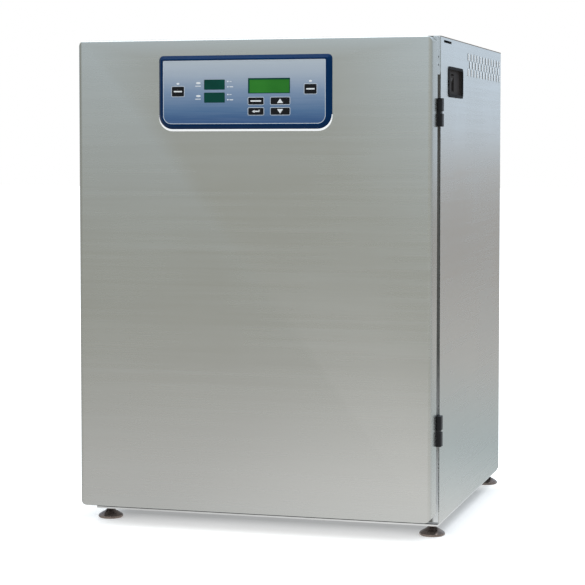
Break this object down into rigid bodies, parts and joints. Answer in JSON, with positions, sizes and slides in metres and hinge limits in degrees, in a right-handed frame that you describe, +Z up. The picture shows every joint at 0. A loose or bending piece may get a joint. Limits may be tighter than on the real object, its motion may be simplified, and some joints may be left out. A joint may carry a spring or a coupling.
{
  "type": "laboratory incubator",
  "caption": "Free-standing cell-culture incubator: stainless cabinet on levelling feet, solid outer door with control pod, glass inner door, sliding shelves.",
  "frame": {"origin": "on the floor, under the centre of the whole object's box", "axes": "+Z up, the doors face -Y, +X is the hinge side, to the right of a person who faces the doors"},
  "size_m": [0.6722, 0.7272, 0.898],
  "materials": {
    "stainless": "satin",
    "liner_steel": "satin",
    "galvanised": "matte",
    "mineral_wool": "matte",
    "black_plastic": "satin",
    "black_silicone": "matte",
    "white_silicone": "matte",
    "blue_plastic": "gloss",
    "overlay_film": "satin",
    "green_display": "gloss",
    "dark_filter": "gloss",
    "circuit_board": "satin",
    "foot_bronze": "satin",
    "clear_glass": "gloss",
    "filter_paper": "matte",
    "brass": "satin",
    "grey_plastic": "satin",
    "dark_frame": "matte"
  },
  "bodies": {
    "cabinet": {"left_side_panel": "stainless", "right_side_panel": "stainless", "top_cover": "stainless", "base_plate": "galvanised", "rear_panel": "stainless", "front_frame": "dark_frame", "chamber_liner": "liner_steel", "insulation_wrap": "mineral_wool", "insulation_rear": "mineral_wool", "chamber_heater": "brass", "air_duct_cover": "liner_steel", "air_filter": "filter_paper", "shelf_rack_left": "liner_steel", "shelf_rack_right": "liner_steel", "humidity_pan": "liner_steel", "blower_motor": "grey_plastic", "gas_temperature_sensor": "grey_plastic", "access_port_tube": "grey_plastic", "electronics_tray": "galvanised", "main_circuit_board": "circuit_board", "power_supply": "galvanised", "gas_solenoid_valve": "brass", "mains_inlet": "black_plastic", "gas_inlet_barb": "brass", "levelling_foot_front_left": "foot_bronze", "levelling_foot_front_right": "foot_bronze", "levelling_foot_rear_left": "foot_bronze", "levelling_foot_rear_right": "foot_bronze", "switch_housing": "black_plastic", "upper_hinge_cabinet_half": "black_plastic", "lower_hinge_cabinet_half": "black_plastic", "cable_loom_guard": "grey_plastic", "inner_door_gasket": "white_silicone", "inner_door_hinge_post": "stainless"},
    "outer_door": {"upper_hinge_door_half": "black_plastic", "lower_hinge_door_half": "black_plastic", "door_skin": "stainless", "door_insulation": "mineral_wool", "door_liner": "liner_steel", "door_gasket": "black_silicone", "pod_bezel": "blue_plastic", "pod_overlay": "overlay_film", "control_board": "circuit_board", "lcd_display": "green_display", "numeric_display": "dark_filter"},
    "inner_door": {"inner_door_glass": "clear_glass", "inner_door_hinge_bar": "stainless", "inner_door_knob": "black_plastic"},
    "shelf_lower": {"shelf_lower": "liner_steel"},
    "shelf_middle": {"shelf_middle": "liner_steel"},
    "shelf_upper": {"shelf_upper": "liner_steel"},
    "blower": {"blower_wheel": "galvanised"},
    "power_rocker": {"power_rocker": "black_plastic"},
    "access_port_stopper": {"access_port_stopper": "white_silicone"},
    "key_menu": {"key_menu": "black_plastic"},
    "key_enter": {"key_enter": "black_plastic"},
    "key_up": {"key_up": "black_plastic"},
    "key_down": {"key_down": "black_plastic"},
    "key_mode": {"key_mode": "black_plastic"},
    "key_silence": {"key_silence": "black_plastic"}
  },
  "joints": [
    {"name": "outer_door_hinge", "type": "hinge", "parent": "cabinet", "child": "outer_door", "pos_m": [0.33205, -0.3024, 0.467], "axis": [0, 0, 1], "range_deg": [0, 165]},
    {"name": "inner_door_hinge", "type": "hinge", "parent": "cabinet", "child": "inner_door", "pos_m": [0.28205, -0.2924, 0.416], "axis": [0, 0, 1], "range_deg": [0, 99]},
    {"name": "shelf_lower_slide", "type": "slide", "parent": "cabinet", "child": "shelf_lower", "axis": [0, -1, 0], "range_m": [0, 0.13]},
    {"name": "shelf_middle_slide", "type": "slide", "parent": "cabinet", "child": "shelf_middle", "axis": [0, -1, 0], "range_m": [0, 0.1]},
    {"name": "shelf_upper_slide", "type": "slide", "parent": "cabinet", "child": "shelf_upper", "axis": [0, -1, 0], "range_m": [0, 0.07]},
    {"name": "blower_spin", "type": "hinge", "parent": "cabinet", "child": "blower", "pos_m": [-0.00195, 0.2216, 0.64], "axis": [0, 1, 0], "continuous": true},
    {"name": "power_rocker_tilt", "type": "hinge", "parent": "cabinet", "child": "power_rocker", "pos_m": [0.31305, -0.1484, 0.819], "axis": [0, -1, 0], "range_deg": [0, 16]},
    {"name": "access_port_stopper_slide", "type": "slide", "parent": "cabinet", "child": "access_port_stopper", "axis": [0, 1, 0], "range_m": [0, 0.09]},
    {"name": "key_menu_press", "type": "slide", "parent": "outer_door", "child": "key_menu", "axis": [0, 1, 0], "range_m": [0, 0.0008], "stiffness_N_per_m": 1500, "springref_m": -0.0006},
    {"name": "key_enter_press", "type": "slide", "parent": "outer_door", "child": "key_enter", "axis": [0, 1, 0], "range_m": [0, 0.0008], "stiffness_N_per_m": 1500, "springref_m": -0.0006},
    {"name": "key_up_press", "type": "slide", "parent": "outer_door", "child": "key_up", "axis": [0, 1, 0], "range_m": [0, 0.0008], "stiffness_N_per_m": 1500, "springref_m": -0.0006},
    {"name": "key_down_press", "type": "slide", "parent": "outer_door", "child": "key_down", "axis": [0, 1, 0], "range_m": [0, 0.0008], "stiffness_N_per_m": 1500, "springref_m": -0.0006},
    {"name": "key_mode_press", "type": "slide", "parent": "outer_door", "child": "key_mode", "axis": [0, 1, 0], "range_m": [0, 0.0008], "stiffness_N_per_m": 1500, "springref_m": -0.0006},
    {"name": "key_silence_press", "type": "slide", "parent": "outer_door", "child": "key_silence", "axis": [0, 1, 0], "range_m": [0, 0.0008], "stiffness_N_per_m": 1500, "springref_m": -0.0006}
  ],
  "couplings": [
    {"joint": "inner_door_hinge", "follows": "outer_door_hinge", "ratio": 0.6},
    {"joint": "shelf_lower_slide", "follows": "outer_door_hinge", "m_per_rad": 0.045},
    {"joint": "shelf_middle_slide", "follows": "outer_door_hinge", "m_per_rad": 0.0345},
    {"joint": "shelf_upper_slide", "follows": "outer_door_hinge", "m_per_rad": 0.024}
  ]
}
